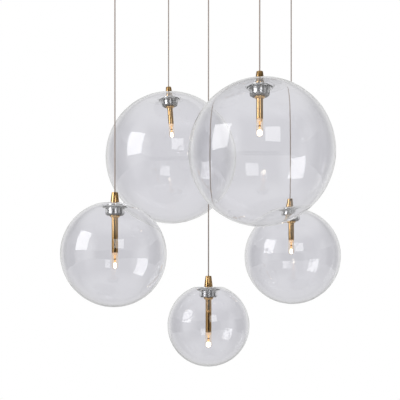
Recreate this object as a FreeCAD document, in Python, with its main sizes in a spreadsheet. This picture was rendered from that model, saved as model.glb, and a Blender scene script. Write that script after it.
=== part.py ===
"""Cluster pendant: five clear glass globes hung at different heights from one round ceiling canopy.

Millimetres. +Z is up, X to the right and Y away from the front. The origin is on the ceiling, in the
middle of the bracket's screw pattern, so everything hangs at negative Z.

Each pendant's head is modelled downwards from the top of its brass cone, where the cord enters:
cone, threaded stem, aluminium collar plugged into the turned-in glass neck, brass lamp tube, bulb.
"""
import FreeCAD, Part
import math
import os
import Sketcher
from FreeCAD import Placement, Rotation, Vector

# ---------------------------------------------------------------- driving dimensions
SIZES = [
    # ceiling canopy
    ("canopy_diameter", 460.0, "round pan over the bracket"),
    ("canopy_depth", 32.0, "ceiling to the pan's underside"),
    ("canopy_sheet", 1.5, "pan's sheet"),
    ("canopy_bend", 6.0, "rounded lower edge of the pan"),
    ("pattern_radius", 195.0, "cords hang on this circle, and one in its middle"),
    ("pattern_turn", 26.5, "degrees from X to the first cord of the circle"),
    ("bracket_width", 50.0, "bar on the ceiling"),
    ("bracket_sheet", 2.5, "bar and tabs"),
    ("bracket_tab", 22.0, "height of the bent ends"),
    ("bracket_gap", 0.4, "tab to the pan's wall"),
    ("ceiling_screw_span", 392.0, "ceiling screws, along X"),
    ("ceiling_screw_row", 30.0, "ceiling screws, along Y"),
    ("ceiling_screw_hole", 2.75, "radius"),
    ("mains_hole", 10.0, "radius of the hole for the house's cable"),
    ("side_screw", 2.0, "radius of the two screws that hold the pan"),
    ("side_screw_head", 4.0, "radius"),
    ("side_screw_head_height", 2.4, "button head"),
    ("side_screw_length", 9.0, "under the head"),
    ("side_screw_drop", 14.0, "screw axis under the ceiling"),
    ("driver_length", 150.0, "low-voltage driver"),
    ("driver_width", 42.0, ""),
    ("driver_height", 21.0, ""),
    ("driver_start", 19.0, "its near end, from the bracket's middle"),
    ("terminal_length", 56.0, "mains terminal block"),
    ("terminal_width", 22.0, ""),
    ("terminal_height", 14.0, ""),
    ("terminal_start", 19.0, "its near end, from the bracket's middle"),
    ("terminal_wire_hole", 1.6, "radius of the wire holes"),
    # cord and cone, the same cone under the canopy and on each globe
    ("cord_radius", 1.2, "two-core cord"),
    ("cord_clearance", 0.4, "cord to the cone's bore"),
    ("cord_entry", 1.8, "length of cord inside each cone"),
    ("cone_height", 22.0, ""),
    ("cone_top", 5.9, "radius"),
    ("cone_base", 8.7, "radius"),
    ("cone_chamfer", 0.6, "at both ends"),
    ("cone_thread_depth", 12.0, "threaded bore in the base"),
    ("grip_nut_radius", 8.0, "hexagon nut inside the pan, to its corners"),
    ("grip_nut_height", 5.0, ""),
    ("grip_thread", 9.0, "threaded stub above the pan's plate"),
    # threaded stem, collar and seals
    ("stem_radius", 5.0, "ten-millimetre thread"),
    ("stem_bore", 3.0, "radius, for the cord's two cores"),
    ("thread_clearance", 0.05, "stem to the parts on it"),
    ("stem_in_cone", 10.0, "thread inside the cone"),
    ("flange_radius", 9.4, "brass flange under the collar"),
    ("flange_height", 4.4, ""),
    ("flange_chamfer", 2.0, "its lower edge"),
    ("spigot_length", 8.0, "stem's end inside the lamp tube"),
    ("collar_radius", 14.0, "aluminium collar, in the glass neck"),
    ("collar_height", 18.8, "with its head"),
    ("collar_head_radius", 15.6, ""),
    ("collar_head_height", 3.0, ""),
    ("collar_chamfer", 1.2, "lower edge"),
    ("washer_radius", 18.0, "clear washer under the collar's head"),
    ("washer_height", 1.0, ""),
    ("grip_ring_radius", 15.5, "ring squeezed out under the glass neck"),
    ("grip_ring_height", 1.5, ""),
    # glass
    ("glass_wall", 2.2, "blown wall"),
    ("neck_bore", 14.6, "radius of the turned-in neck's bore"),
    ("neck_wall", 2.9, "glass of the neck"),
    ("dish_floor", 21.5, "radius of the dish's floor round the neck"),
    ("dish_lip", 25.0, "radius of the dish's lip on the flat top"),
    ("dish_glass", 3.0, "glass under the dish"),
    ("shoulder_round", 8.0, "where the flat top turns into the ball"),
    ("dish_round", 1.6, "the dish's lip"),
    ("root_round", 1.8, "inside corners of the glass"),
    ("rim_round", 1.2, "ends of the neck"),
    # lamp
    ("tube_radius", 6.0, "brass lamp tube"),
    ("tube_wall", 0.7, ""),
    ("tube_long", 65.0, "lamp tube of the centre and left pendants"),
    ("tube_short", 35.5, "lamp tube of the right, front and back pendants"),
    ("tube_chamfer", 0.3, ""),
    ("socket_height", 13.0, "two-pin lamp holder"),
    ("socket_recess", 1.2, "its face inside the tube's end"),
    ("socket_clearance", 0.1, "to the tube"),
    ("pin_radius", 0.4, "lamp pins"),
    ("pin_spacing", 4.0, "between the pins' axes"),
    ("pin_length", 7.5, "into the socket"),
    ("pin_clearance", 0.05, "to the socket's holes"),
    ("bulb_radius", 6.1, "clear capsule"),
    ("bulb_length", 30.0, "capsule below the tube"),
    ("bulb_wall", 0.8, "capsule's glass"),
    ("bulb_gap", 0.4, "tube's end to the capsule"),
    ("bulb_dome", 5.6, "rounding of the capsule's tip"),
    ("foot_radius", 4.6, "lamp foot in the capsule's mouth"),
    ("foot_height", 5.0, ""),
    ("post_radius", 1.5, "filament post"),
    ("post_length", 11.0, ""),
    ("burner_radius", 3.0, "glowing body on the post"),
    ("burner_length", 8.0, ""),
    # the five globes: outside diameter, flat top below the ball's pole, ceiling to cone top, and
    # how far the ball is blown to the right of its neck
    ("centre_ball", 162.0, ""),
    ("centre_seat", 5.1, ""),
    ("centre_drop", 694.5, ""),
    ("left_ball", 196.0, ""),
    ("left_seat", 5.2, ""),
    ("left_drop", 543.2, ""),
    ("left_aside", -1.9, ""),
    ("right_ball", 200.5, ""),
    ("right_seat", 5.6, ""),
    ("right_drop", 533.2, ""),
    ("right_aside", 2.4, ""),
    ("front_ball", 254.0, ""),
    ("front_seat", 7.9, ""),
    ("front_drop", 347.6, ""),
    ("front_aside", 3.3, ""),
    ("back_ball", 287.5, ""),
    ("back_seat", 7.6, ""),
    ("back_drop", 268.0, ""),
    ("back_aside", 5.1, ""),
    ("back_lean", 4.0, "degrees that the back globe's neck leans"),
]

# pendant: (place on the circle in quarter turns, or None for the middle; lamp tube)
PENDANTS = {
    "centre": (None, "tube_long"),
    "left": (2, "tube_long"),
    "right": (0, "tube_short"),
    "front": (3, "tube_short"),
    "back": (1, "tube_short"),
}


class Size:
    """A length with the sheet's formula for it, so that sketches and placements stay bound."""

    def __init__(self, value, text):
        self.value = float(value)
        self.text = text

    @staticmethod
    def of(other):
        return other if isinstance(other, Size) else Size(other, repr(float(other)))

    def __add__(self, other):
        other = Size.of(other)
        return Size(self.value + other.value, f"({self.text} + {other.text})")

    def __sub__(self, other):
        other = Size.of(other)
        return Size(self.value - other.value, f"({self.text} - {other.text})")

    def __mul__(self, other):
        other = Size.of(other)
        return Size(self.value * other.value, f"({self.text} * {other.text})")

    def __truediv__(self, other):
        other = Size.of(other)
        return Size(self.value / other.value, f"({self.text} / {other.text})")

    def __neg__(self):
        return Size(-self.value, f"(0 - {self.text})")


def leg(long_side, short_side):
    """The other leg of a right triangle, with its formula."""
    value = math.sqrt(long_side.value**2 - short_side.value**2)
    return Size(value, f"sqrt({long_side.text} ^ 2 - {short_side.text} ^ 2)")


doc = FreeCAD.newDocument("cluster_pendant")
sheet = doc.addObject("Spreadsheet::Sheet", "sizes")
S = {}
for row, (alias, number, note) in enumerate(SIZES, start=1):
    sheet.set(f"A{row}", str(number))
    sheet.setAlias(f"A{row}", alias)
    sheet.set(f"B{row}", note)
    S[alias] = Size(number, f"sizes.{alias}")
doc.recompute()

ZERO = Size(0.0, "0")
HALF_TURN = 180.0
FULL_TURN = 360.0
QUARTER = 90.0
pieces = {}


# ---------------------------------------------------------------- helpers
def angle_part(function, name, quarters):
    """cos or sin of the pattern's angle after some quarter turns, with its formula."""
    degrees = S["pattern_turn"] + QUARTER * quarters
    value = getattr(math, name)(math.radians(degrees.value))
    return Size(value, f"{function}({degrees.text} * 1 deg)")


def plane_of(body, role):
    """One of the body's own origin planes."""
    for feature in body.Origin.OriginFeatures:
        if feature.Role == role:
            return feature
    raise ValueError(role)


def hold_point(sketch, edge, end, x, y):
    """Fix one end of a sketch line at x, y, bound to the sheet where it isn't on an axis."""
    if x is ZERO:
        sketch.addConstraint(Sketcher.Constraint("PointOnObject", edge, end, -2))
    else:
        spot = sketch.addConstraint(Sketcher.Constraint("DistanceX", -1, 1, edge, end, x.value))
        sketch.setExpression(f"Constraints[{spot}]", x.text)
    if y is ZERO:
        sketch.addConstraint(Sketcher.Constraint("PointOnObject", edge, end, -1))
    else:
        spot = sketch.addConstraint(Sketcher.Constraint("DistanceY", -1, 1, edge, end, y.value))
        sketch.setExpression(f"Constraints[{spot}]", y.text)


def outline(body, name, role, points):
    """A closed sketch of straight lines through points, each a pair of sizes."""
    sketch = body.newObject("Sketcher::SketchObject", name)
    sketch.AttachmentSupport = [(plane_of(body, role), "")]
    sketch.MapMode = "FlatFace"
    count = len(points)
    for i in range(count):
        x1, y1 = points[i]
        x2, y2 = points[(i + 1) % count]
        line = Part.LineSegment(Vector(x1.value, y1.value, 0), Vector(x2.value, y2.value, 0))
        sketch.addGeometry(line)
    for i in range(count):
        sketch.addConstraint(Sketcher.Constraint("Coincident", i, 2, (i + 1) % count, 1))
        hold_point(sketch, i, 1, points[i][0], points[i][1])
    return sketch


def turned(name, points):
    """A body turned about Z from an outline of radius and height pairs."""
    body = doc.addObject("PartDesign::Body", name)
    sketch = outline(body, name + "_outline", "XZ_Plane", points)
    turning = body.newObject("PartDesign::Revolution", name + "_turning")
    turning.Profile = sketch
    turning.ReferenceAxis = (sketch, ["V_Axis"])
    turning.Angle = FULL_TURN
    return body


def circle_edges(feature, radius, height):
    """Names of the feature's circular edges with this radius at this height."""
    found = []
    for i, edge in enumerate(feature.Shape.Edges, start=1):
        round_edge = isinstance(edge.Curve, Part.Circle)
        if not round_edge:
            continue
        same_radius = abs(edge.Curve.Radius - radius.value) < 0.01
        same_height = abs(edge.Curve.Center.z - height.value) < 0.01
        if same_radius and same_height:
            found.append(f"Edge{i}")
    if not found:
        raise ValueError(f"no edge of radius {radius.value} at {height.value} on {feature.Name}")
    return found


def rounded(body, radius, height, size):
    """Round the circular edge of a turned body that has this radius at this height."""
    doc.recompute()
    base = body.Tip
    fillet = body.newObject("PartDesign::Fillet", body.Name + "_round")
    fillet.Base = (base, circle_edges(base, radius, height))
    fillet.Radius = size.value
    fillet.setExpression("Radius", size.text)
    body.Tip = fillet
    return body


def drilled(body, plane_role, name, x, y, radius, reverse=False):
    """A round hole all the way through a body, square to one of its origin planes."""
    sketch = body.newObject("Sketcher::SketchObject", name)
    sketch.AttachmentSupport = [(plane_of(body, plane_role), "")]
    sketch.MapMode = "FlatFace"
    centre = Vector(x.value, y.value, 0)
    sketch.addGeometry(Part.Circle(centre, Vector(0, 0, 1), radius.value))
    hold_point(sketch, 0, 3, x, y)
    spot = sketch.addConstraint(Sketcher.Constraint("Radius", 0, radius.value))
    sketch.setExpression(f"Constraints[{spot}]", radius.text)
    pocket = body.newObject("PartDesign::Pocket", name + "_hole")
    pocket.Profile = sketch
    pocket.Type = 1
    pocket.Midplane = not reverse
    pocket.Reversed = reverse
    return pocket


def primitive(kind, name, **sizes):
    """A Part primitive whose properties are bound to the sheet."""
    thing = doc.addObject(kind, name)
    for key, size in sizes.items():
        setattr(thing, key, size.value)
        thing.setExpression(key, size.text)
    return thing


def join(kind, name, base, tool):
    """A Part boolean of two objects."""
    made = doc.addObject(kind, name)
    made.Base = base
    made.Tool = tool
    return made


def put(thing, x, y, z, lean=None):
    """Place a piece, bound to the sheet, turned about Y by its lean."""
    turn = Rotation(Vector(0, 1, 0), -lean.value) if lean else Rotation()
    thing.Placement = Placement(Vector(x.value, y.value, z.value), turn)
    for letter, size in zip("xyz", (x, y, z)):
        if size is not ZERO:
            thing.setExpression(f"Placement.Base.{letter}", size.text)
    return thing


def keep(thing, node):
    """Give a finished sub-part its node name."""
    thing.Label = node
    pieces[node] = thing
    return thing


def group(node, members):
    """Several separate solids that share one node."""
    together = doc.addObject("Part::Compound", node)
    together.Links = members
    return keep(together, node)


# ---------------------------------------------------------------- ceiling canopy
def ceiling_bracket():
    """A steel bar bent down at both ends: the ceiling screws and the pan's side screws hold it."""
    reach = S["canopy_diameter"] / 2 - S["canopy_sheet"] - S["bracket_gap"]
    half = leg(reach, S["bracket_width"] / 2)
    inner = half - S["bracket_sheet"]
    body = doc.addObject("PartDesign::Body", "ceiling_bracket")
    side = [
        (-half, ZERO),
        (half, ZERO),
        (half, -S["bracket_tab"]),
        (inner, -S["bracket_tab"]),
        (inner, -S["bracket_sheet"]),
        (-inner, -S["bracket_sheet"]),
        (-inner, -S["bracket_tab"]),
        (-half, -S["bracket_tab"]),
    ]
    sketch = outline(body, "bracket_side", "XZ_Plane", side)
    bar = body.newObject("PartDesign::Pad", "bracket_bar")
    bar.Profile = sketch
    bar.Midplane = True
    bar.setExpression("Length", S["bracket_width"].text)
    span = S["ceiling_screw_span"] / 2
    across = S["ceiling_screw_row"] / 2
    for i, (sx, sy) in enumerate(((1, 1), (1, -1), (-1, 1), (-1, -1))):
        drilled(body, "XY_Plane", f"ceiling_screw_{i}", span * sx, across * sy, S["ceiling_screw_hole"])
    drilled(body, "XY_Plane", "mains_entry", ZERO, ZERO, S["mains_hole"])
    tapped = S["side_screw"] + S["thread_clearance"]
    drilled(body, "YZ_Plane", "side_thread", ZERO, -S["side_screw_drop"], tapped)
    return keep(body, "ceiling_bracket")


def canopy_cover():
    """The round pan: spun sheet with a rounded edge, holes for the cord grips and side screws."""
    outer = S["canopy_diameter"] / 2
    inner = outer - S["canopy_sheet"]
    floor = -(S["canopy_depth"] - S["canopy_sheet"])
    bend = S["canopy_bend"]
    inside_bend = bend - S["canopy_sheet"]
    body = turned(
        "canopy_cover",
        [
            (ZERO, -S["canopy_depth"]),
            (outer, -S["canopy_depth"]),
            (outer, ZERO),
            (inner, ZERO),
            (inner, floor),
            (ZERO, floor),
        ],
    )
    rounded(body, outer, -S["canopy_depth"], bend)
    rounded(body, inner, floor, inside_bend)
    hole = S["stem_radius"] + S["thread_clearance"]
    drilled(body, "XY_Plane", "cord_hole_centre", ZERO, ZERO, hole)
    for quarters in range(4):
        x = S["pattern_radius"] * angle_part("cos", "cos", quarters)
        y = S["pattern_radius"] * angle_part("sin", "sin", quarters)
        drilled(body, "XY_Plane", f"cord_hole_{quarters}", x, y, hole)
    clear = S["side_screw"] + S["cord_clearance"]
    drilled(body, "YZ_Plane", "side_hole", ZERO, -S["side_screw_drop"], clear)
    return keep(body, "canopy_cover")


def cover_screws():
    """Two button-head screws through the pan's wall into the bracket's tabs."""
    screws = []
    for side, turn in (("right", QUARTER), ("left", -QUARTER)):
        radius = S["side_screw"]
        head = S["side_screw_head"]
        top = S["side_screw_head_height"]
        body = turned(
            f"cover_screw_{side}",
            [
                (ZERO, -S["side_screw_length"]),
                (radius, -S["side_screw_length"]),
                (radius, ZERO),
                (head, ZERO),
                (head, top * 0.35),
                (head * 0.62, top),
                (ZERO, top),
            ],
        )
        sign = 1 if turn > 0 else -1
        x = S["canopy_diameter"] / 2 * sign
        body.Placement = Placement(
            Vector(x.value, 0, -S["side_screw_drop"].value), Rotation(Vector(0, 1, 0), turn)
        )
        body.setExpression("Placement.Base.x", x.text)
        body.setExpression("Placement.Base.z", (-S["side_screw_drop"]).text)
        screws.append(body)
    return group("cover_screws", screws)


def led_driver():
    """The mains to low-voltage driver, a closed box with rounded long edges, on the bracket."""
    body = doc.addObject("PartDesign::Body", "led_driver")
    start = S["driver_start"]
    end = start + S["driver_length"]
    side = S["driver_width"] / 2
    sketch = outline(
        body, "driver_plan", "XY_Plane", [(start, -side), (end, -side), (end, side), (start, side)]
    )
    block = body.newObject("PartDesign::Pad", "driver_block")
    block.Profile = sketch
    block.Reversed = True
    block.setExpression("Length", S["driver_height"].text)
    doc.recompute()
    upright = []
    for i, edge in enumerate(block.Shape.Edges, start=1):
        direction = edge.Vertexes[0].Point - edge.Vertexes[-1].Point
        if abs(direction.z) > 1.0:
            upright.append(f"Edge{i}")
    corners = body.newObject("PartDesign::Fillet", "driver_corners")
    corners.Base = (block, upright)
    corners.setExpression("Radius", S["canopy_bend"].text + " / 2")
    body.Tip = corners
    put(body, ZERO, ZERO, -S["bracket_sheet"])
    return keep(body, "led_driver")


def terminal_block():
    """The three-way mains terminal, with a row of wire holes from side to side."""
    body = doc.addObject("PartDesign::Body", "terminal_block")
    start = -S["terminal_start"]
    end = start - S["terminal_length"]
    side = S["terminal_width"] / 2
    sketch = outline(
        body, "terminal_plan", "XY_Plane", [(end, -side), (start, -side), (start, side), (end, side)]
    )
    block = body.newObject("PartDesign::Pad", "terminal_body")
    block.Profile = sketch
    block.Reversed = True
    block.setExpression("Length", S["terminal_height"].text)
    for i in range(3):
        x = start - S["terminal_length"] * ((2 * i + 1) / 6.0)
        z = -S["terminal_height"] / 2
        drilled(body, "XZ_Plane", f"wire_way_{i}", x, z, S["terminal_wire_hole"])
    put(body, ZERO, ZERO, -S["bracket_sheet"])
    return keep(body, "terminal_block")


def cone_points(stub):
    """Half section of a brass cone, from the cord's end at height 0 down to its base."""
    bore = S["cord_radius"] + S["cord_clearance"]
    edge = S["cone_chamfer"]
    height = S["cone_height"]
    thread = S["stem_radius"] + S["thread_clearance"]
    points = [
        (bore, ZERO),
        (S["cone_top"] - edge, ZERO),
        (S["cone_top"], -edge),
        (S["cone_base"], edge - height),
        (S["cone_base"] - edge, -height),
    ]
    if stub:
        end = -(height + S["canopy_sheet"] + S["grip_thread"])
        points += [(S["stem_radius"], -height), (S["stem_radius"], end), (bore, end)]
    else:
        depth = S["cone_thread_depth"] - height
        points += [(thread, -height), (thread, depth), (bore, depth)]
    return points


def spot_of(pendant):
    """The pendant's X and Y: on the circle, or in its middle."""
    quarters = PENDANTS[pendant][0]
    if quarters is None:
        return ZERO, ZERO
    x = S["pattern_radius"] * angle_part("cos", "cos", quarters)
    y = S["pattern_radius"] * angle_part("sin", "sin", quarters)
    return x, y


def cord_grips():
    """Five brass cones under the pan, each with a threaded stub up through its plate."""
    grips = []
    nuts = []
    for pendant in PENDANTS:
        x, y = spot_of(pendant)
        grip = turned(f"cord_grip_{pendant}", cone_points(stub=True))
        mouth = -(S["canopy_depth"] + S["cone_height"])
        grip.Placement = Placement(
            Vector(x.value, y.value, mouth.value), Rotation(Vector(1, 0, 0), HALF_TURN)
        )
        for letter, size in zip("xyz", (x, y, mouth)):
            if size is not ZERO:
                grip.setExpression(f"Placement.Base.{letter}", size.text)
        grips.append(grip)
        thread = S["stem_radius"] + S["thread_clearance"]
        height = S["grip_nut_height"]
        hexagon = primitive(
            "Part::Prism", f"hexagon_{pendant}", Circumradius=S["grip_nut_radius"], Height=height
        )
        hexagon.Polygon = 6
        bore = primitive("Part::Cylinder", f"nut_bore_{pendant}", Radius=thread, Height=height)
        nut = join("Part::Cut", f"grip_nut_{pendant}", hexagon, bore)
        put(nut, x, y, S["canopy_sheet"] - S["canopy_depth"])
        nuts.append(nut)
    group("cord_grips", grips)
    group("grip_nuts", nuts)


# ---------------------------------------------------------------- one pendant
def cord(pendant):
    """The straight cord from inside the canopy's grip to inside the cone."""
    top = S["cord_entry"] - S["canopy_depth"] - S["cone_height"]
    bottom = -(S[f"{pendant}_drop"] + S["cord_entry"])
    body = turned(
        f"cord_{pendant}",
        [(ZERO, bottom), (S["cord_radius"], bottom), (S["cord_radius"], top), (ZERO, top)],
    )
    x, y = spot_of(pendant)
    put(body, x, y, ZERO)
    return keep(body, f"cord_{pendant}")


def seat_level():
    """Height of the cone's base and the collar's top in the head's frame."""
    return -S["cone_height"]


def stem(pendant):
    """Threaded brass stem with the flange that clamps the collar and the grip ring."""
    seat = seat_level()
    flange_top = seat - S["collar_height"] - S["grip_ring_height"]
    flange_low = flange_top - S["flange_height"]
    spigot = S["tube_radius"] - S["tube_wall"] - S["thread_clearance"]
    return turned(
        f"stem_{pendant}",
        [
            (S["stem_bore"], seat + S["stem_in_cone"]),
            (S["stem_radius"], seat + S["stem_in_cone"]),
            (S["stem_radius"], flange_top),
            (S["flange_radius"], flange_top),
            (S["flange_radius"], flange_low + S["flange_chamfer"]),
            (S["flange_radius"] - S["flange_chamfer"], flange_low),
            (spigot, flange_low),
            (spigot, flange_low - S["spigot_length"]),
            (S["stem_bore"], flange_low - S["spigot_length"]),
        ],
    )


def collar(pendant):
    """Aluminium collar: a head that rests over the glass and a body down the neck."""
    seat = seat_level()
    bore = S["stem_radius"] + S["thread_clearance"]
    under_head = seat - S["collar_head_height"]
    bottom = seat - S["collar_height"]
    edge = S["cone_chamfer"]
    return turned(
        f"collar_{pendant}",
        [
            (bore, seat),
            (S["collar_head_radius"] - edge, seat),
            (S["collar_head_radius"], seat - edge),
            (S["collar_head_radius"], under_head),
            (S["collar_radius"], under_head),
            (S["collar_radius"], bottom + S["collar_chamfer"]),
            (S["collar_radius"] - S["collar_chamfer"], bottom),
            (bore, bottom),
        ],
    )


def seals(pendant):
    """The clear washer on the crater's floor and the grip ring under the neck's end."""
    seat = seat_level()
    under_head = seat - S["collar_head_height"]
    washer_bore = S["collar_radius"] + S["thread_clearance"]
    washer = turned(
        f"washer_{pendant}",
        [
            (washer_bore, under_head),
            (S["washer_radius"], under_head),
            (S["washer_radius"], under_head - S["washer_height"]),
            (washer_bore, under_head - S["washer_height"]),
        ],
    )
    top = seat - S["collar_height"]
    ring_bore = S["stem_radius"] + S["thread_clearance"]
    ring = turned(
        f"grip_ring_{pendant}",
        [
            (ring_bore, top),
            (S["grip_ring_radius"], top),
            (S["grip_ring_radius"], top - S["grip_ring_height"] / 2),
            (S["grip_ring_radius"] - S["grip_ring_height"] / 2, top - S["grip_ring_height"]),
            (ring_bore, top - S["grip_ring_height"]),
        ],
    )
    return [washer, ring]


def tube_top():
    """Height of the lamp tube's upper end, on the stem's flange."""
    return seat_level() - S["collar_height"] - S["grip_ring_height"] - S["flange_height"]


def lamp_tube(pendant, length):
    """The brass tube that carries the lamp holder."""
    top = tube_top()
    inner = S["tube_radius"] - S["tube_wall"]
    edge = S["tube_chamfer"]
    return turned(
        f"lamp_tube_{pendant}",
        [
            (inner, top),
            (S["tube_radius"], top),
            (S["tube_radius"], top - length + edge),
            (S["tube_radius"] - edge, top - length),
            (inner, top - length),
        ],
    )


def socket(pendant, length):
    """Ceramic lamp holder with two pin holes, set back in the tube's end."""
    face = tube_top() - length + S["socket_recess"]
    radius = S["tube_radius"] - S["tube_wall"] - S["socket_clearance"]
    top = face + S["socket_height"]
    body = turned(f"socket_{pendant}", [(ZERO, face), (radius, face), (radius, top), (ZERO, top)])
    hole = S["pin_radius"] + S["pin_clearance"]
    for i, side in enumerate((1, -1)):
        x = S["pin_spacing"] / 2 * side
        drilled(body, "XY_Plane", f"pin_hole_{pendant}_{i}", x, ZERO, hole)
    return body


def bulb_glass(pendant, length):
    """The lamp's clear capsule, open at its mouth round the foot, with a domed tip."""
    top = tube_top() - length - S["bulb_gap"]
    tip = top - S["bulb_length"]
    wall = S["bulb_wall"]
    radius = S["bulb_radius"]
    body = turned(
        f"bulb_glass_{pendant}",
        [
            (radius - wall, top),
            (radius, top),
            (radius, tip),
            (ZERO, tip),
            (ZERO, tip + wall),
            (radius - wall, tip + wall),
        ],
    )
    rounded(body, radius, tip, S["bulb_dome"])
    rounded(body, radius - wall, tip + wall, S["bulb_dome"] - wall)
    return body


def bulb_core(pendant, length):
    """Lamp foot, post, glowing body and the two pins, as one sealed piece."""
    top = tube_top() - length - S["bulb_gap"]
    foot = top - S["foot_height"]
    post = foot - S["post_length"]
    end = post - S["burner_length"]
    body = turned(
        f"bulb_core_{pendant}",
        [
            (ZERO, top),
            (S["foot_radius"], top),
            (S["foot_radius"], foot),
            (S["post_radius"], foot),
            (S["post_radius"], post),
            (S["burner_radius"], post),
            (S["burner_radius"], end),
            (ZERO, end),
        ],
    )
    rounded(body, S["burner_radius"], end, S["burner_radius"] * 0.8)
    sketch = body.newObject("Sketcher::SketchObject", f"pins_{pendant}")
    sketch.AttachmentSupport = [(plane_of(body, "XY_Plane"), "")]
    sketch.MapMode = "FlatFace"
    sketch.AttachmentOffset.Base.z = top.value
    sketch.setExpression("AttachmentOffset.Base.z", top.text)
    for i, side in enumerate((1, -1)):
        x = S["pin_spacing"] / 2 * side
        sketch.addGeometry(Part.Circle(Vector(x.value, 0, 0), Vector(0, 0, 1), S["pin_radius"].value))
        hold_point(sketch, i, 3, x, ZERO)
        spot = sketch.addConstraint(Sketcher.Constraint("Radius", i, S["pin_radius"].value))
        sketch.setExpression(f"Constraints[{spot}]", S["pin_radius"].text)
    pins = body.newObject("PartDesign::Pad", f"pin_pair_{pendant}")
    pins.Profile = sketch
    pins.setExpression("Length", (S["pin_length"] + S["socket_recess"] + S["bulb_gap"]).text)
    return body


def cone_shape(name, floor):
    """The dish's cone from its floor up past the flat top, with the slope from floor to lip."""
    spread = S["dish_lip"] - S["dish_floor"]
    rise = S["collar_head_height"] + S["washer_height"]
    shape = primitive(
        "Part::Cone",
        name,
        Radius1=S["dish_floor"],
        Radius2=S["dish_floor"] + spread * 3,
        Height=rise * 3,
    )
    return put(shape, ZERO, ZERO, floor)


def globe(pendant, aside, lean):
    """Blown ball, flat on top, with a dish round the collar's head and a neck turned inwards.

    Outside, the ball loses its cap above the flat top and the dish's cone. Inside, the cavity is a
    smaller ball that leaves a wall under the flat top, glass under the dish and round the neck.
    Then the neck is bored, and every rim is rounded.
    """
    seat = seat_level()
    radius = S[f"{pendant}_ball"] / 2
    wall = S["glass_wall"]
    centre = seat + S[f"{pendant}_seat"] - radius
    # the ball hangs under the cord although its neck leans
    beside = aside + centre * lean_tangent(lean) if lean else aside
    ball = put(primitive("Part::Sphere", f"ball_{pendant}", Radius=radius), beside, ZERO, centre)
    inner = radius - wall
    hollow = put(primitive("Part::Sphere", f"hollow_{pendant}", Radius=inner), beside, ZERO, centre)

    floor = seat - S["collar_head_height"] - S["washer_height"]
    neck_low = seat - S["collar_height"]
    outer_neck = S["neck_bore"] + S["neck_wall"]
    cap = put(
        primitive("Part::Cylinder", f"cap_{pendant}", Radius=radius, Height=radius), ZERO, ZERO, seat
    )
    opened = join("Part::Fuse", f"opened_{pendant}", cap, cone_shape(f"dish_{pendant}", floor))
    shell = join("Part::Cut", f"dished_{pendant}", ball, opened)

    roof = put(
        primitive("Part::Cylinder", f"roof_{pendant}", Radius=radius, Height=radius),
        ZERO,
        ZERO,
        seat - wall,
    )
    under = cone_shape(f"under_dish_{pendant}", floor - S["dish_glass"])
    neck = primitive("Part::Cylinder", f"neck_{pendant}", Radius=outer_neck, Height=floor - neck_low)
    put(neck, ZERO, ZERO, neck_low)
    glass = join("Part::Fuse", f"glass_{pendant}", join("Part::Fuse", f"top_{pendant}", roof, under), neck)
    cavity = join("Part::Cut", f"cavity_{pendant}", hollow, glass)
    blown = join("Part::Cut", f"blown_{pendant}", shell, cavity)
    bore = primitive(
        "Part::Cylinder", f"bore_{pendant}", Radius=S["neck_bore"], Height=S["collar_height"] * 2
    )
    put(bore, ZERO, ZERO, neck_low - S["collar_height"] / 2)
    bored = join("Part::Cut", f"bored_{pendant}", blown, bore)
    doc.recompute()

    top_height = radius - S[f"{pendant}_seat"]
    rims = [
        (S["neck_bore"], neck_low, ZERO, S["rim_round"]),
        (outer_neck, neck_low, ZERO, S["rim_round"]),
        (S["neck_bore"], floor, ZERO, S["rim_round"]),
        (S["dish_floor"], floor, ZERO, S["root_round"]),
        (S["dish_lip"], seat, ZERO, S["dish_round"]),
        (outer_neck, floor - S["dish_glass"], ZERO, S["root_round"]),
        (S["dish_floor"], floor - S["dish_glass"], ZERO, S["root_round"]),
        (leg(radius, top_height), seat, beside, S["shoulder_round"]),
        (leg(inner, top_height - wall), seat - wall, beside, S["shoulder_round"] - wall),
    ]
    lips = doc.addObject("Part::Fillet", f"lips_{pendant}")
    lips.Base = bored
    rounds = []
    for reach, level, middle, size in rims:
        rounds += edges_at(bored, reach, level, middle, size)
    lips.Edges = rounds
    return lips


def edges_at(thing, radius, level, middle, size):
    """Fillet entries for a level ring-shaped edge of this radius, round an axis at this X."""
    slack = 0.02
    found = []
    for i, edge in enumerate(thing.Shape.Edges, start=1):
        if edge.Degenerated:
            continue
        points = edge.discretize(24)
        near = all(abs(math.hypot(p.x - middle.value, p.y) - radius.value) < slack for p in points)
        level_ok = all(abs(p.z - level.value) < slack for p in points)
        if near and level_ok:
            found.append((i, size.value, size.value))
    if not found:
        raise ValueError(f"no glass edge at {radius.value}, {level.value} on {thing.Name}")
    return found


def lean_tangent(lean):
    """How far the ball's centre lies beside the neck's axis per length."""
    return Size(math.tan(math.radians(lean.value)), f"tan({lean.text} * 1 deg)")


def pendant_head(pendant):
    """Everything that hangs on one cord."""
    length = S[PENDANTS[pendant][1]]
    aside = S.get(f"{pendant}_aside", ZERO)
    lean = S.get(f"{pendant}_lean")
    x, y = spot_of(pendant)
    z = -S[f"{pendant}_drop"]
    made = {
        "cone": turned(f"cone_{pendant}", cone_points(stub=False)),
        "stem": stem(pendant),
        "collar": collar(pendant),
        "globe": globe(pendant, aside, lean),
        "lamp_tube": lamp_tube(pendant, length),
        "socket": socket(pendant, length),
        "bulb_glass": bulb_glass(pendant, length),
        "bulb_core": bulb_core(pendant, length),
    }
    for name, thing in made.items():
        put(thing, x, y, z, lean)
        keep(thing, f"{name}_{pendant}")
    rings = [put(ring, x, y, z, lean) for ring in seals(pendant)]
    group(f"seals_{pendant}", rings)


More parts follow.
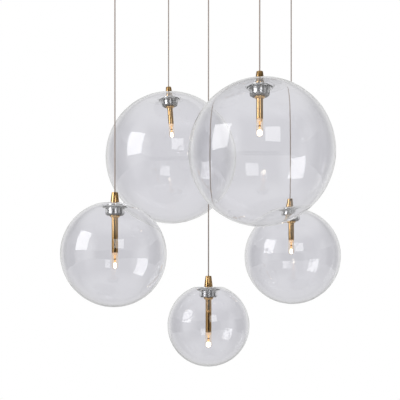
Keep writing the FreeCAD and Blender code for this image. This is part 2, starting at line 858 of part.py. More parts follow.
# ---------------------------------------------------------------- build, check and write
def check_all():
    """Stop if an object failed or a sub-part has no valid solid."""
    for thing in doc.Objects:
        if "Invalid" in thing.State or "Error" in thing.State:
            raise RuntimeError(f"{thing.Name} is {thing.State}")
    for node, thing in pieces.items():
        shape = thing.Shape
        if shape.isNull() or not shape.isValid() or not shape.Solids:
            raise RuntimeError(f"{node} has no valid solid")


ceiling_bracket()
canopy_cover()
cover_screws()
led_driver()
terminal_block()
cord_grips()
for pendant_name in PENDANTS:
    cord(pendant_name)
    pendant_head(pendant_name)
doc.recompute()
check_all()

os.makedirs("parts", exist_ok=True)
for node_name, sub_part in pieces.items():
    sub_part.Shape.exportStep(f"parts/{node_name}.step")
    print(node_name, "solids", len(sub_part.Shape.Solids), "volume", round(sub_part.Shape.Volume, 1))
print(len(pieces), "nodes")
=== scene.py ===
"""Cluster pendant: five clear blown globes on thin cords under one round canopy, in a pale studio.

Metres, in the model's own frame: +Z up, the ceiling at zero, the camera in front at negative Y.
"""

import math

import bmesh
import bpy
import numpy as np
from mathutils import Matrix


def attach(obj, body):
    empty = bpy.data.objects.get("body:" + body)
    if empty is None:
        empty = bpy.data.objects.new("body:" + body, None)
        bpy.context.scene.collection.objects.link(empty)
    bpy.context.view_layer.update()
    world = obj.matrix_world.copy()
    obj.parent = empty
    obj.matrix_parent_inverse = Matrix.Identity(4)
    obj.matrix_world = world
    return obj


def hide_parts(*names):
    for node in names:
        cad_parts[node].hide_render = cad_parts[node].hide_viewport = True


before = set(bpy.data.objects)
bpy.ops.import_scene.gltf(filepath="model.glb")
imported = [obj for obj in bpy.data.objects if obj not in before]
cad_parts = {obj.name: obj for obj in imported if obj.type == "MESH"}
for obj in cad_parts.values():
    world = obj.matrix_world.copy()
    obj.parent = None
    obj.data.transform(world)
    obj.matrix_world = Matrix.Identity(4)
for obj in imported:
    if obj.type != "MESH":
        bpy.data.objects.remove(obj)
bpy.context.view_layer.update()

# ---------------------------------------------------------------- camera
# The photograph was taken level, at the height of the lowest globe, from 1.4 m away. The lens is
# shifted up instead of tilted, so the cords stay upright in the picture.
camera_data = bpy.data.cameras.new("camera")
camera_data.sensor_width = 36.0
camera_data.lens = 64.17
camera_data.shift_x = -0.0035
camera_data.shift_y = 0.2625
camera_data.dof.use_dof = False
camera = bpy.data.objects.new("camera", camera_data)
camera.location = (-0.014, -1.410, -0.752)
camera.rotation_euler = (math.radians(90.0), 0.0, 0.0)
bpy.context.scene.collection.objects.link(camera)
bpy.context.scene.camera = camera


# ---------------------------------------------------------------- bracket, cover screws and nuts
# Zinc-plated steel: a bar that is screwed to the ceiling, two screws that hold the pan to its tabs,
# and a nut inside the pan for each cord grip. They keep their solids.
def grained(name, dark, light, rough, scale, stretch=(1.0, 1.0, 1.0), relief=0.1, depth=0.0002):
    """Material whose colour, roughness and relief follow one fine noise on the object itself.

    The noise runs from the dark to the light colour and from the first to the second roughness. The
    stretch scales it along X, Y and Z, so that a high Z gives the fine rings of turned metal. The
    relief is the bump's strength from 0 to 1, and the depth is its height in metres.
    """
    material = bpy.data.materials.new(name)
    material.use_nodes = True
    nodes = material.node_tree.nodes
    links = material.node_tree.links
    shader = nodes["Principled BSDF"]
    where = nodes.new("ShaderNodeTexCoord")
    stretched = nodes.new("ShaderNodeMapping")
    stretched.inputs["Scale"].default_value = stretch
    grain = nodes.new("ShaderNodeTexNoise")
    grain.inputs["Scale"].default_value = scale
    grain.inputs["Detail"].default_value = 3.0
    faint = 0.3
    strong = 0.7
    tone = nodes.new("ShaderNodeValToRGB")
    tone.color_ramp.elements[0].position = faint
    tone.color_ramp.elements[0].color = (*dark, 1.0)
    tone.color_ramp.elements[1].position = strong
    tone.color_ramp.elements[1].color = (*light, 1.0)
    polish = nodes.new("ShaderNodeMapRange")
    polish.inputs["From Min"].default_value = faint
    polish.inputs["From Max"].default_value = strong
    polish.inputs["To Min"].default_value = rough[0]
    polish.inputs["To Max"].default_value = rough[1]
    bump = nodes.new("ShaderNodeBump")
    bump.inputs["Strength"].default_value = relief
    bump.inputs["Distance"].default_value = depth
    links.new(where.outputs["Object"], stretched.inputs["Vector"])
    links.new(stretched.outputs["Vector"], grain.inputs["Vector"])
    links.new(grain.outputs["Fac"], tone.inputs["Fac"])
    links.new(tone.outputs["Color"], shader.inputs["Base Color"])
    links.new(grain.outputs["Fac"], polish.inputs["Value"])
    links.new(polish.outputs["Result"], shader.inputs["Roughness"])
    links.new(grain.outputs["Fac"], bump.inputs["Height"])
    links.new(bump.outputs["Normal"], shader.inputs["Normal"])
    return material, shader


def finish_solid(node, material):
    """Gives a CAD node's solid its material, and leaves its shape as it is."""
    for material_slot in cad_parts[node].material_slots:
        material_slot.material = material


zinc_steel, shader = grained(
    "zinc plated steel",
    (0.50, 0.51, 0.53),
    (0.68, 0.69, 0.71),
    rough=(0.28, 0.45),
    scale=160.0,
    relief=0.12,
)
shader.inputs["Metallic"].default_value = 1.0
finish_solid("ceiling_bracket", zinc_steel)
finish_solid("cover_screws", zinc_steel)
finish_solid("grip_nuts", zinc_steel)

# ---------------------------------------------------------------- canopy pan
# Round pan of sheet metal, painted white, that hides the bracket and carries the five cord grips. It
# keeps its solid.
canopy_paint, shader = grained(
    "white paint", (0.82, 0.82, 0.81), (0.87, 0.87, 0.86), rough=(0.3, 0.42), scale=420.0, relief=0.12
)
shader.inputs["Coat Weight"].default_value = 0.2
finish_solid("canopy_cover", canopy_paint)

# ---------------------------------------------------------------- driver and terminal
# Low-voltage driver and mains terminal, moulded in pale plastics and fixed to the bracket inside the
# pan. They keep their solids.
driver_plastic, shader = grained(
    "driver plastic", (0.80, 0.80, 0.79), (0.86, 0.86, 0.85), rough=(0.45, 0.6), scale=1400.0, relief=0.3
)
terminal_plastic, shader = grained(
    "terminal plastic", (0.74, 0.73, 0.68), (0.80, 0.79, 0.74), rough=(0.4, 0.55), scale=1100.0, relief=0.2
)
finish_solid("led_driver", driver_plastic)
finish_solid("terminal_block", terminal_plastic)

# ---------------------------------------------------------------- cord grips
# Five turned brass cones under the pan, one on each cord. The brass has a clear satin lacquer, like
# all the brass of the lamp. They keep their solids.
lathe_rings = (0.4, 0.4, 26.0)
brass, shader = grained(
    "lacquered brass",
    (0.58, 0.34, 0.125),
    (0.72, 0.46, 0.20),
    rough=(0.15, 0.21),
    scale=100.0,
    stretch=lathe_rings,
)
shader.inputs["Metallic"].default_value = 1.0
shader.inputs["Anisotropic"].default_value = 0.4
shader.inputs["Anisotropic Rotation"].default_value = 0.25
shader.inputs["Coat Weight"].default_value = 0.4
shader.inputs["Coat Roughness"].default_value = 0.12
finish_solid("cord_grips", brass)

# ---------------------------------------------------------------- cords
# Thin two-core cord, 2.4 mm across, in a grey-brown sleeve. The globe's weight pulls it straight from
# the grip under the canopy to the cone on the globe. One cord is in the middle, four on a circle.
turn = math.radians(26.5)
circle = 0.195
across = circle * math.cos(turn)
along = circle * math.sin(turn)
# each pendant's place, and how far the top of its cone is below the ceiling
pendants = {
    "centre": (0.0, 0.0, 0.6945),
    "left": (-across, -along, 0.5432),
    "right": (across, along, 0.5332),
    "front": (along, -across, 0.3476),
    "back": (-along, across, 0.2680),
}
cord_diameter = 0.0024
cord_entry = 0.0018
grip_mouth = -0.054
sleeve, shader = grained(
    "cord sleeve", (0.38, 0.31, 0.275), (0.50, 0.42, 0.375), rough=(0.45, 0.6), scale=900.0
)
for pendant, (x, y, drop) in pendants.items():
    curve = bpy.data.curves.new(f"cord sleeve {pendant}", "CURVE")
    curve.dimensions = "3D"
    curve.bevel_depth = cord_diameter / 2
    curve.bevel_resolution = 6
    curve.use_fill_caps = True
    top = grip_mouth + cord_entry
    bottom = -drop - cord_entry
    spline = curve.splines.new("NURBS")
    spline.points.add(2)
    for point, z in zip(spline.points, (top, (top + bottom) / 2, bottom)):
        point.co = (x, y, z, 1.0)
    spline.order_u = 3
    spline.use_endpoint_u = True
    curve.materials.append(sleeve)
    piece = bpy.data.objects.new(f"cord_sleeve_{pendant}", curve)
    bpy.context.scene.collection.objects.link(piece)
    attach(piece, f"{pendant}_cord")
    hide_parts(f"cord_{pendant}")


# ---------------------------------------------------------------- cones
# Turned brass cone that grips the cord: 22 mm high, a slim taper with broken edges. It is screwed
# down on the stem, onto the collar. All heights of a head are measured from the top of its cone.
def rounded(corners, steps):
    """Section points with an arc at each corner, from (radius, height, rounding) triples.

    An arc's centre lies on the corner's bisector, its rounding over the sine of the half angle
    away, and its ends lie its rounding over the tangent of the half angle away on both sides.
    """
    points = []
    for i, (x, z, size) in enumerate(corners):
        corner = np.array([x, z])
        if size == 0:
            points.append(corner[None, :])
            continue
        before = np.array(corners[i - 1][:2]) - corner
        after = np.array(corners[(i + 1) % len(corners)][:2]) - corner
        before /= np.linalg.norm(before)
        after /= np.linalg.norm(after)
        half = math.acos(np.clip(np.dot(before, after), -1.0, 1.0)) / 2
        middle = before + after
        heart = corner + middle / np.linalg.norm(middle) * size / math.sin(half)
        start = corner + before * size / math.tan(half) - heart
        end = corner + after * size / math.tan(half) - heart
        sweep = math.pi - 2 * half
        t = np.linspace(0.0, 1.0, steps)[:, None]
        points.append(heart + (np.sin((1 - t) * sweep) * start + np.sin(t * sweep) * end) / math.sin(sweep))
    return np.concatenate(points)


# how far each head leans, its lower end to the right
neck_lean = {"centre": 0.0, "left": 0.0, "right": 0.0, "front": 0.0, "back": math.radians(4.0)}


def hang(vertices, pendant):
    """Turns points about the cone's top by the pendant's lean and moves them to the pendant's place."""
    lean = neck_lean[pendant]
    x, y, drop = pendants[pendant]
    placed = vertices.copy()
    placed[:, 0] = vertices[:, 0] * math.cos(lean) - vertices[:, 2] * math.sin(lean)
    placed[:, 2] = vertices[:, 0] * math.sin(lean) + vertices[:, 2] * math.cos(lean)
    return placed + np.array([x, y, -drop])


def swept(name, section, pendant, around, middle=0.0, closed=True, sharp=25.0):
    """Skin of revolution: point (r, z) of the section becomes the ring (m + r cos a, r sin a, z).

    m is the middle that the ring lies round, one for all or one for each point of the section, and
    a goes round in even steps. The section runs up the outside, so that the skin faces out. A
    closed one ends where it starts, and the ends of an open one lie on the axis, where their rings
    weld into poles. Edges that turn by more than the sharp angle, in degrees, stay crisp.
    """
    angle = np.arange(around) * (2 * math.pi / around)
    r = section[:, 0][:, None]
    x = np.broadcast_to(middle, len(section))[:, None] + r * np.cos(angle)
    y = r * np.sin(angle)
    z = np.repeat(section[:, 1][:, None], around, axis=1)
    vertices = hang(np.stack([x.ravel(), y.ravel(), z.ravel()], axis=1), pendant)
    rows = np.arange(len(section) if closed else len(section) - 1)
    here = rows[:, None] * around
    above = ((rows + 1) % len(section))[:, None] * around
    column = np.arange(around)[None, :]
    beside = (column + 1) % around
    quads = np.stack([here + column, here + beside, above + beside, above + column], axis=2)
    mesh = bpy.data.meshes.new(name)
    mesh.from_pydata(vertices.tolist(), [], quads.reshape(-1, 4).tolist())
    if not closed:
        welded = bmesh.new()
        welded.from_mesh(mesh)
        bmesh.ops.remove_doubles(welded, verts=welded.verts, dist=1e-7)
        welded.to_mesh(mesh)
        welded.free()
    mesh.polygons.foreach_set("use_smooth", np.ones(len(mesh.polygons), dtype=bool))
    mesh.set_sharp_from_angle(angle=math.radians(sharp))
    mesh.update()
    return mesh


def fit_to_head(name, pendant, mesh, material, node):
    """Shows a finished mesh in place of a CAD node of one head, and lets it move with that head."""
    mesh.materials.append(material)
    piece = bpy.data.objects.new(name, mesh)
    bpy.context.scene.collection.objects.link(piece)
    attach(piece, f"{pendant}_head")
    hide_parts(f"{node}_{pendant}")


def turned(name, pendant, corners, material, node, start=0.0, around=72, steps=5, closed=True):
    """One turned piece of one head. Its section's heights are measured from the start."""
    section = rounded(corners, steps) + np.array([0.0, start])
    mesh = swept(f"{name} {pendant}", section, pendant, around, closed=closed)
    fit_to_head(f"{name}_{pendant}", pendant, mesh, material, node)


cone_height = 0.022
cone_top_radius = 0.0059
cone_base_radius = 0.0087
cone_edge = 0.0006
cord_bore = 0.0016
thread_bore = 0.00505
cone_thread_depth = 0.012
cone_base = -cone_height
cone_section = [
    (cord_bore, 0.0, 0),
    (cord_bore, cone_base + cone_thread_depth, 0),
    (thread_bore, cone_base + cone_thread_depth, 0),
    (thread_bore, cone_base, 0),
    (cone_base_radius, cone_base, cone_edge),
    (cone_top_radius, 0.0, cone_edge),
]
for pendant in pendants:
    turned("brass_cone", pendant, cone_section, brass, "cone")

# ---------------------------------------------------------------- collars
# Turned aluminium plug in the glass neck, 28 mm across, with a wider head over the dish's floor. The
# stem goes through it, and the cone is screwed down onto its head.
aluminium, shader = grained(
    "turned aluminium",
    (0.84, 0.84, 0.85),
    (0.95, 0.95, 0.95),
    rough=(0.24, 0.32),
    scale=90.0,
    stretch=lathe_rings,
    relief=0.2,
)
shader.inputs["Metallic"].default_value = 1.0
shader.inputs["Anisotropic"].default_value = 0.6
shader.inputs["Anisotropic Rotation"].default_value = 0.25
collar_height = 0.0188
collar_radius = 0.014
collar_chamfer = 0.0012
collar_edge = 0.0003
collar_head_height = 0.003
collar_head_radius = 0.0156
collar_head_edge = 0.0006
collar_end = cone_base - collar_height
collar_head_under = cone_base - collar_head_height
collar_section = [
    (thread_bore, cone_base, 0),
    (thread_bore, collar_end, 0),
    (collar_radius - collar_chamfer, collar_end, collar_edge),
    (collar_radius, collar_end + collar_chamfer, collar_edge),
    (collar_radius, collar_head_under, 0),
    (collar_head_radius, collar_head_under, collar_edge),
    (collar_head_radius, cone_base, collar_head_edge),
]
for pendant in pendants:
    turned("aluminium_collar", pendant, collar_section, aluminium, "collar", around=96)

# ---------------------------------------------------------------- washers
# Clear plastic washer, 36 mm across and 1 mm thick, that lies on the dish's floor under the collar's
# head, so that no metal rests on the glass.
washer_plastic, shader = grained(
    "clear washer", (0.90, 0.90, 0.91), (0.96, 0.96, 0.97), rough=(0.1, 0.25), scale=300.0, relief=0.03
)
shader.inputs["Transmission Weight"].default_value = 0.85
shader.inputs["IOR"].default_value = 1.45
washer_height = 0.001
washer_bore = 0.01405
washer_radius = 0.018
washer_edge = 0.0003
washer_under = collar_head_under - washer_height
washer_section = [
    (washer_bore, collar_head_under, 0),
    (washer_bore, washer_under, 0),
    (washer_radius, washer_under, washer_edge),
    (washer_radius, collar_head_under, washer_edge),
]
for pendant in pendants:
    turned("clear_washer", pendant, washer_section, washer_plastic, "seals", around=96)

# ---------------------------------------------------------------- glass globes
# Clear blown glass, 2.2 mm thick, 162 to 287.5 mm across, with slow waves. The ball is flat on top,
# with a soft shoulder, a dish round the collar and a neck turned inwards, its edges fire-polished.
glass, shader = grained(
    "blown glass", (0.985, 0.985, 0.995), (0.995, 0.995, 1.0), rough=(0.0, 0.0), scale=13.0, depth=0.002
)
shader.inputs["IOR"].default_value = 1.5
shader.inputs["Transmission Weight"].default_value = 1.0
# each ball's diameter, how far its top is pushed flat, and how far it is blown to the right
balls = {
    "centre": (0.1620, 0.0051, 0.0),
    "left": (0.1960, 0.0052, -0.0019),
    "right": (0.2005, 0.0056, 0.0024),
    "front": (0.2540, 0.0079, 0.0033),
    "back": (0.2875, 0.0076, 0.0051),
}
glass_wall = 0.0022
shoulder_round = 0.008
flat_top = cone_base
lip_radius = 0.025
lip_round = 0.0016
lip_radius_inside = 0.0257
dish_radius = 0.0215
dish_glass = 0.003
dish_floor = washer_under
dish_under = dish_floor - dish_glass
root_round = 0.0018
neck_bore = 0.0146
neck_wall = 0.0029
neck_radius = neck_bore + neck_wall
neck_end = collar_end
rim_round = 0.0012
ball_steps = 84
shoulder_steps = 10


def globe_rings(pendant):
    """Middle, radius and height of the globe's level rings, from the outer pole to the inner one.

    The ball and its shoulder are rings round the ball's own axis, where a shoulder's arc touches
    the ball and the flat top: its centre is the ball's radius less its own from the ball's centre.
    The dish and the neck are rings round the neck's axis. The two sets meet in the flat top.
    """
    diameter, flattened, aside = balls[pendant]
    ball = diameter / 2
    centre = flat_top + flattened - ball
    beside = aside + centre * math.tan(neck_lean[pendant])
    shoulder = flat_top - shoulder_round
    reach = math.sqrt((ball - shoulder_round) ** 2 - (shoulder - centre) ** 2)
    touch = math.atan2(shoulder - centre, reach)

    def skin(inwards):
        """The ball's and shoulder's rings, on the outside or as far inwards of it as is given."""
        up = np.linspace(-math.pi / 2, touch, ball_steps)
        over = np.linspace(touch, math.pi / 2, shoulder_steps)[1:]
        ball_skin = ball - inwards
        shoulder_skin = shoulder_round - inwards
        r = np.concatenate([ball_skin * np.cos(up), reach + shoulder_skin * np.cos(over)])
        z = np.concatenate([centre + ball_skin * np.sin(up), shoulder + shoulder_skin * np.sin(over)])
        r[0] = 0.0
        return np.stack([np.full(len(r), beside), r, z], axis=1)

    dish_and_neck = [
        (reach, flat_top, 0),
        (lip_radius, flat_top, lip_round),
        (dish_radius, dish_floor, root_round),
        (neck_bore, dish_floor, rim_round),
        (neck_bore, neck_end, rim_round),
        (neck_radius, neck_end, rim_round),
        (neck_radius, dish_under, root_round),
        (dish_radius, dish_under, root_round),
        (lip_radius_inside, flat_top - glass_wall, 0),
    ]
    turned_in = rounded(dish_and_neck, steps=7)[1:]
    on_axis = np.concatenate([np.zeros((len(turned_in), 1)), turned_in], axis=1)
    return np.concatenate([skin(0.0), on_axis, skin(glass_wall)[::-1]])


for pendant in pendants:
    rings = globe_rings(pendant)
    mesh = swept(
        f"blown globe {pendant}",
        rings[:, 1:],
        pendant,
        around=224,
        middle=rings[:, 0],
        closed=False,
        sharp=35.0,
    )
    fit_to_head(f"blown_globe_{pendant}", pendant, mesh, glass, "globe")

# ---------------------------------------------------------------- grip rings
# Pale silicone ring, 31 mm across, that the stem's flange squeezes out under the end of the glass
# neck. The globe hangs on it.
silicone, shader = grained(
    "pale silicone", (0.66, 0.64, 0.62), (0.76, 0.74, 0.72), rough=(0.35, 0.5), scale=1200.0, relief=0.05
)
shader.inputs["Transmission Weight"].default_value = 0.5
shader.inputs["IOR"].default_value = 1.41
ring_height = 0.0015
ring_radius = 0.0155
ring_slope = 0.00075
ring_edge = 0.0003
ring_top_edge = 0.0002
ring_under = collar_end - ring_height
ring_section = [
    (thread_bore, collar_end, 0),
    (thread_bore, ring_under, 0),
    (ring_radius - ring_slope, ring_under, ring_edge),
    (ring_radius, ring_under + ring_slope, ring_edge),
    (ring_radius, collar_end, ring_top_edge),
]
for pendant in pendants:
    turned("grip_ring", pendant, ring_section, silicone, "seals", around=96)

# ---------------------------------------------------------------- stems
# Threaded brass stem, 10 mm across, through the collar and into the cone. Its chamfered flange clamps
# the ring and the collar from below, and its spigot carries the lamp tube.
stem_radius = 0.005
stem_bore = 0.003
stem_in_cone = 0.010
stem_top = cone_base + stem_in_cone
flange_radius = 0.0094
flange_height = 0.0044
flange_chamfer = 0.002
flange_edge = 0.0004
flange_top_edge = 0.0003
flange_top = ring_under
flange_under = flange_top - flange_height
spigot_radius = 0.00525
spigot_length = 0.008
spigot_edge = 0.0003
spigot_end = flange_under - spigot_length
stem_section = [
    (stem_bore, stem_top, 0),
    (stem_bore, spigot_end, 0),
    (spigot_radius, spigot_end, spigot_edge),
    (spigot_radius, flange_under, 0),
    (flange_radius - flange_chamfer, flange_under, flange_edge),
    (flange_radius, flange_under + flange_chamfer, flange_edge),
    (flange_radius, flange_top, flange_top_edge),
    (stem_radius, flange_top, 0),
    (stem_radius, stem_top, 0),
]
for pendant in pendants:
    turned("brass_stem", pendant, stem_section, brass, "stem")

# ---------------------------------------------------------------- lamp tubes
# Brass tube, 12 mm across, with a wall of 0.7 mm. It is pushed over the stem's spigot, up to the
# flange, and hides the lamp holder. Two of the five are long.
tube_length = {"centre": 0.065, "left": 0.065, "right": 0.0355, "front": 0.0355, "back": 0.0355}
tube_radius = 0.006
tube_bore = 0.0053
tube_edge = 0.0003
tube_bore_edge = 0.0001
for pendant in pendants:
    tube_end = -tube_length[pendant]
    tube_section = [
        (tube_bore, 0.0, 0),
        (tube_bore, tube_end, tube_bore_edge),
        (tube_radius, tube_end, tube_edge),
        (tube_radius, 0.0, 0),
    ]
    turned(
        "brass_lamp_tube",
        pendant,
        tube_section,
        brass,
        "lamp_tube",
        start=flange_under,
        around=64,
        steps=9,
    )

# ---------------------------------------------------------------- lamp holders
# Two-pin holder of pale ceramic, pushed into the end of each lamp tube. The lamp's pins go up into
# it. It keeps its solid.
ceramic, shader = grained(
    "lamp ceramic", (0.82, 0.79, 0.74), (0.90, 0.88, 0.84), rough=(0.5, 0.65), scale=1500.0, relief=0.15
)
for pendant in pendants:
    finish_solid(f"socket_{pendant}", ceramic)

# ---------------------------------------------------------------- lamp capsules
# Clear capsule of a low-voltage lamp, 12 mm across and 30 mm long, with a round tip. It hangs 0.4 mm
# under the tube, and its glass has a faint painted orange glow that stands in for the burner's light.
lamp_glass, shader = grained(
    "lamp glass", (0.97, 0.93, 0.87), (0.985, 0.96, 0.92), rough=(0.0, 0.03), scale=220.0, depth=0.0004
)
shader.inputs["IOR"].default_value = 1.47
shader.inputs["Transmission Weight"].default_value = 1.0
# painted orange glow in the capsule glass, standing in for the burner's light in it
shader.inputs["Emission Color"].default_value = (1.0, 0.58, 0.26, 1.0)
shader.inputs["Emission Strength"].default_value = 0.035
capsule_gap = 0.0004
# height of each capsule's mouth, from which the heights of all parts of its lamp are measured
lamp_mouth = {pendant: flange_under - tube_length[pendant] - capsule_gap for pendant in pendants}
capsule_tip = -0.030
capsule_radius = 0.0061
capsule_wall = 0.0008
capsule_dome = 0.0056
capsule_edge = 0.0003
capsule_section = [
    (0.0, capsule_tip, 0),
    (capsule_radius, capsule_tip, capsule_dome),
    (capsule_radius, 0.0, capsule_edge),
    (capsule_radius - capsule_wall, 0.0, capsule_edge),
    (capsule_radius - capsule_wall, capsule_tip + capsule_wall, capsule_dome - capsule_wall),
    (0.0, capsule_tip + capsule_wall, 0),
]


def turned_in_lamp(name, pendant, corners, material, node, closed=False):
    """One turned piece of one lamp. Its section's heights are measured from the capsule's mouth."""
    mouth = lamp_mouth[pendant]
    turned(name, pendant, corners, material, node, start=mouth, around=64, steps=9, closed=closed)


for pendant in pendants:
    turned_in_lamp("lamp_capsule", pendant, capsule_section, lamp_glass, "bulb_glass")

# ---------------------------------------------------------------- lamp feet
# Pressed glass foot, 9 mm across and 5 mm high, that closes the capsule's mouth. Its warm tint and
# faint orange glow are painted light that stands in for the burner's light on it.
# the foot's warm colours are painted light: the burner's light, painted into the glass
foot_glass_painted_warm, shader = grained(
    "foot glass with painted warm glow",
    (0.98, 0.84, 0.68),
    (1.0, 0.92, 0.80),
    rough=(0.05, 0.15),
    scale=900.0,
    relief=0.2,
    depth=0.0004,
)
shader.inputs["IOR"].default_value = 1.47
shader.inputs["Transmission Weight"].default_value = 0.9
# painted orange glow of the burner's light on the foot
shader.inputs["Emission Color"].default_value = (1.0, 0.62, 0.32, 1.0)
shader.inputs["Emission Strength"].default_value = 0.12
foot_end = -0.005
foot_radius = 0.0046
foot_edge = 0.0008
foot_top_edge = 0.0003
foot_section = [
    (0.0, foot_end, 0),
    (foot_radius, foot_end, foot_edge),
    (foot_radius, 0.0, foot_top_edge),
    (0.0, 0.0, 0),
]
for pendant in pendants:
    turned_in_lamp("lamp_foot", pendant, foot_section, foot_glass_painted_warm, "bulb_core")

# ---------------------------------------------------------------- lamp posts
# Thin post, 14 mm long, that stands on the foot and carries the burner. It is a little thicker at
# the burner. Its orange colour and glow are painted light that stands in for the burner's light on it.
# the post's orange colours are painted light from the burner
post_painted_glow, shader = grained(
    "post with painted glow", (0.80, 0.40, 0.12), (0.95, 0.60, 0.26), rough=(0.4, 0.5), scale=700.0
)
# painted orange glow of the burner's light on the post
shader.inputs["Emission Color"].default_value = (1.0, 0.58, 0.22, 1.0)
shader.inputs["Emission Strength"].default_value = 0.9
post_end = -0.0192
post_radius = 0.0014
post_end_radius = 0.0018
post_edge = 0.0002
taper_start = -0.012
taper_round = 0.002
post_section = [
    (0.0, post_end, 0),
    (post_end_radius, post_end, post_edge),
    (post_radius, taper_start, taper_round),
    (post_radius, foot_end, post_edge),
    (0.0, foot_end, 0),
]
for pendant in pendants:
    turned_in_lamp("lamp_post", pendant, post_section, post_painted_glow, "bulb_core")

# ---------------------------------------------------------------- lamp clips
# Small ring of browned steel, 2 mm high and 5 mm across, pressed round the post between the foot and
# the burner.
clip_steel, shader = grained(
    "browned clip", (0.06, 0.028, 0.014), (0.13, 0.065, 0.03), rough=(0.3, 0.45), scale=1500.0
)
shader.inputs["Metallic"].default_value = 0.6
clip_top = -0.0108
clip_end = -0.0128
clip_bore = 0.0012
clip_radius = 0.0024
clip_edge = 0.0004
clip_section = [
    (clip_bore, clip_end, 0),
    (clip_radius, clip_end, clip_edge),
    (clip_radius, clip_top, clip_edge),
    (clip_bore, clip_top, 0),
]
for pendant in pendants:
    turned_in_lamp("lamp_clip", pendant, clip_section, clip_steel, "bulb_core", closed=True)

# ---------------------------------------------------------------- lamp burners
# The lamp's glowing body at the end of the post, 10 mm long with a round tip. Its radius is that of
# the bright spot, which is wider in two of the photographed lamps.
burner_glow, shader = grained(
    "glowing burner", (0.95, 0.88, 0.76), (1.0, 0.96, 0.88), rough=(0.4, 0.5), scale=900.0
)
shader.inputs["Emission Color"].default_value = (1.0, 0.94, 0.82, 1.0)
shader.inputs["Emission Strength"].default_value = 5.0
burner_radius = {"centre": 0.0044, "left": 0.0024, "right": 0.0024, "front": 0.0045, "back": 0.0026}
burner_tip = -0.0287
burner_waist = -0.0215
burner_top = -0.0185
burner_tip_share = 0.9
burner_waist_round = 0.0012
burner_top_edge = 0.0006
for pendant, radius in burner_radius.items():
    burner_section = [
        (0.0, burner_tip, 0),
        (radius, burner_tip, burner_tip_share * radius),
        (radius, burner_waist, burner_waist_round),
        (post_end_radius, burner_top, burner_top_edge),
        (0.0, burner_top, 0),
    ]
    turned_in_lamp("lamp_burner", pendant, burner_section, burner_glow, "bulb_core")

# ---------------------------------------------------------------- lamp pins
# Two steel pins, 0.8 mm thick and 4 mm apart, that go up from the lamp's foot into the holes of the
# holder, with their ends rounded off.
pin_radius = 0.0004
pin_length = 0.0075
pin_point = 0.0003
pin_places = {"left": -0.002, "right": 0.002}
pin_section = np.array(
    [(0.0, 0.0), (pin_radius, pin_point), (pin_radius, pin_length - pin_point), (0.0, pin_length)]
)
for pendant in pendants:
    for side, place in pin_places.items():
        section = pin_section + np.array([0.0, lamp_mouth[pendant]])
        mesh = swept(
            f"lamp pin {pendant} {side}", section, pendant, around=16, middle=place, closed=False
        )
        fit_to_head(f"lamp_pin_{pendant}_{side}", pendant, mesh, zinc_steel, "bulb_core")


# ---------------------------------------------------------------- floor
# A plain pale floor, 2.4 m under the ceiling. The camera sees it run out into the white of the room,
# and everything else sees its paint.
def ramp(tree, value, start, end, low=0.0, high=1.0, smooth=True):
    """Number that goes from low to high while the value goes from start to end, and then stays."""
    node = tree.nodes.new("ShaderNodeMapRange")
    node.interpolation_type = "SMOOTHSTEP" if smooth else "LINEAR"
    node.inputs["From Min"].default_value = start
    node.inputs["From Max"].default_value = end
    node.inputs["To Min"].default_value = low
    node.inputs["To Max"].default_value = high
    tree.links.new(value, node.inputs["Value"])
    return node.outputs["Result"]


def worked_out(tree, operation, *values):
    """Sum, product or other operation on outputs of nodes and plain numbers."""
    node = tree.nodes.new("ShaderNodeMath")
    node.operation = operation
    for socket, value in zip(node.inputs, values):
        if isinstance(value, float):
            socket.default_value = value
        else:
            tree.links.new(value, socket)
    return node.outputs["Value"]


def either(tree, share, first, second):
    """Shader that goes from the first to the second as the share goes from 0 to 1."""
    node = tree.nodes.new("ShaderNodeMixShader")
    tree.links.new(share, node.inputs["Fac"])
    tree.links.new(first, node.inputs[1])
    tree.links.new(second, node.inputs[2])
    return node.outputs["Shader"]


floor_reach = 7.0
floor_height = -2.4
floor_mesh = bpy.data.meshes.new("floor")
floor_mesh.from_pydata(
    [
        (-floor_reach, -floor_reach, floor_height),
        (floor_reach, -floor_reach, floor_height),
        (floor_reach, floor_reach, floor_height),
        (-floor_reach, floor_reach, floor_height),
    ],
    [],
    [(0, 1, 2, 3)],
)
floor = bpy.data.objects.new("floor", floor_mesh)
bpy.context.scene.collection.objects.link(floor)
floor_paint = bpy.data.materials.new("floor paint")
floor_paint.use_nodes = True
tree = floor_paint.node_tree
shader = tree.nodes["Principled BSDF"]
shader.inputs["Base Color"].default_value = (0.85, 0.85, 0.85, 1.0)
shader.inputs["Roughness"].default_value = 0.8
white = tree.nodes.new("ShaderNodeEmission")
where = tree.nodes.new("ShaderNodeTexCoord")
flat = tree.nodes.new("ShaderNodeVectorMath")
flat.operation = "MULTIPLY"
flat.inputs[1].default_value = (1.0, 1.0, 0.0)
tree.links.new(where.outputs["Object"], flat.inputs[0])
distance = tree.nodes.new("ShaderNodeVectorMath")
distance.operation = "LENGTH"
tree.links.new(flat.outputs["Vector"], distance.inputs[0])
fade = ramp(tree, distance.outputs["Value"], start=0.8, end=3.5, low=0.55, high=1.0, smooth=False)
path = tree.nodes.new("ShaderNodeLightPath")
seen = worked_out(tree, "MULTIPLY", fade, path.outputs["Is Camera Ray"])
faded = either(tree, seen, shader.outputs["BSDF"], white.outputs["Emission"])
tree.links.new(faded, tree.nodes["Material Output"].inputs["Surface"])
floor_mesh.materials.append(floor_paint)


# ---------------------------------------------------------------- softboxes
# One large softbox stands high on the left, and a smaller one stands beside the camera. The glass
# mirrors them as soft rectangles, and the camera doesn't see them directly.
cluster_middle = np.array([0.0, 0.0, -0.55])


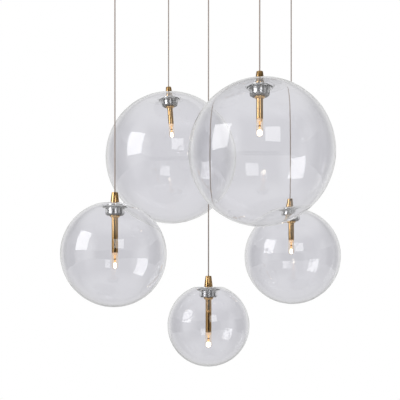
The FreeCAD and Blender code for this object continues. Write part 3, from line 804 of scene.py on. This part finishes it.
def softbox(name, spot, width, height, power):
    """A rectangular lamp that faces the middle of the cluster."""
    data = bpy.data.lights.new(name, "AREA")
    data.shape = "RECTANGLE"
    data.size = width
    data.size_y = height
    data.energy = power
    lamp = bpy.data.objects.new(name, data)
    lamp.location = spot
    way = cluster_middle - np.array(spot)
    way /= np.linalg.norm(way)
    lamp.rotation_euler = (math.acos(-way[2]), 0.0, math.atan2(way[1], way[0]) - math.pi / 2)
    bpy.context.scene.collection.objects.link(lamp)
    lamp.visible_camera = False


softbox("softbox left", spot=(-2.2, -1.0, 0.25), width=1.3, height=1.4, power=19.0)
softbox("softbox camera", spot=(0.55, -2.4, 0.15), width=0.9, height=0.9, power=6.0)

# ---------------------------------------------------------------- room
# The camera sees white. Seen straight through the glass, the wall behind is a light grey. Metal and
# glass reflect that wall and a dimmer room on the other sides, and everything else is lit evenly.
world = bpy.data.worlds.new("pale room")
bpy.context.scene.world = world
world.use_nodes = True
world.cycles.sampling_method = "NONE"
tree = world.node_tree
where = tree.nodes.new("ShaderNodeTexCoord")
axes = tree.nodes.new("ShaderNodeSeparateXYZ")
tree.links.new(where.outputs["Generated"], axes.inputs["Vector"])
sideways = axes.outputs["X"]
backwards = axes.outputs["Y"]
upwards = axes.outputs["Z"]

even_light = tree.nodes["Background"]
even_light.inputs["Color"].default_value = (1.0, 1.0, 1.0, 1.0)
even_light.inputs["Strength"].default_value = 0.65

white = tree.nodes.new("ShaderNodeBackground")
white.inputs["Color"].default_value = (1.0, 1.0, 1.0, 1.0)

wall_behind = tree.nodes.new("ShaderNodeBackground")
wall_behind.inputs["Color"].default_value = (0.96, 0.955, 1.0, 1.0)
rise = ramp(tree, upwards, start=-0.1, end=0.25, low=0.70, high=0.75, smooth=False)
tree.links.new(rise, wall_behind.inputs["Strength"])

mirrored = tree.nodes.new("ShaderNodeBackground")
mirrored.inputs["Color"].default_value = (1.0, 1.0, 1.0, 1.0)
left_wall = ramp(tree, sideways, start=-0.45, end=-0.7, high=0.8)
right_wall = ramp(tree, sideways, start=0.75, end=0.92, high=0.55)
in_front = ramp(tree, backwards, start=0.0, end=-0.3)
walls = worked_out(tree, "ADD", left_wall, right_wall)
dim_room = 0.04
sides = worked_out(tree, "MULTIPLY_ADD", walls, in_front, dim_room)
behind = ramp(tree, backwards, start=0.42, end=0.8)
above = ramp(tree, upwards, start=0.5, end=0.85)
pale = worked_out(tree, "MAXIMUM", behind, above)
brightness = tree.nodes.new("ShaderNodeMix")
brightness.data_type = "FLOAT"
brightness.inputs["B"].default_value = 0.78
tree.links.new(pale, brightness.inputs["Factor"])
tree.links.new(sides, brightness.inputs["A"])
tree.links.new(brightness.outputs["Result"], mirrored.inputs["Strength"])

path = tree.nodes.new("ShaderNodeLightPath")
transmitted = path.outputs["Is Transmission Ray"]
straight = worked_out(tree, "LESS_THAN", path.outputs["Glossy Depth"], 0.5)
through = worked_out(tree, "MULTIPLY", transmitted, straight)
reflected = worked_out(tree, "MAXIMUM", path.outputs["Is Glossy Ray"], transmitted)
shown = either(tree, reflected, even_light.outputs["Background"], mirrored.outputs["Background"])
shown = either(tree, through, shown, wall_behind.outputs["Background"])
shown = either(tree, path.outputs["Is Camera Ray"], shown, white.outputs["Background"])
tree.links.new(shown, tree.nodes["World Output"].inputs["Surface"])

bpy.context.scene.view_settings.view_transform = "Standard"
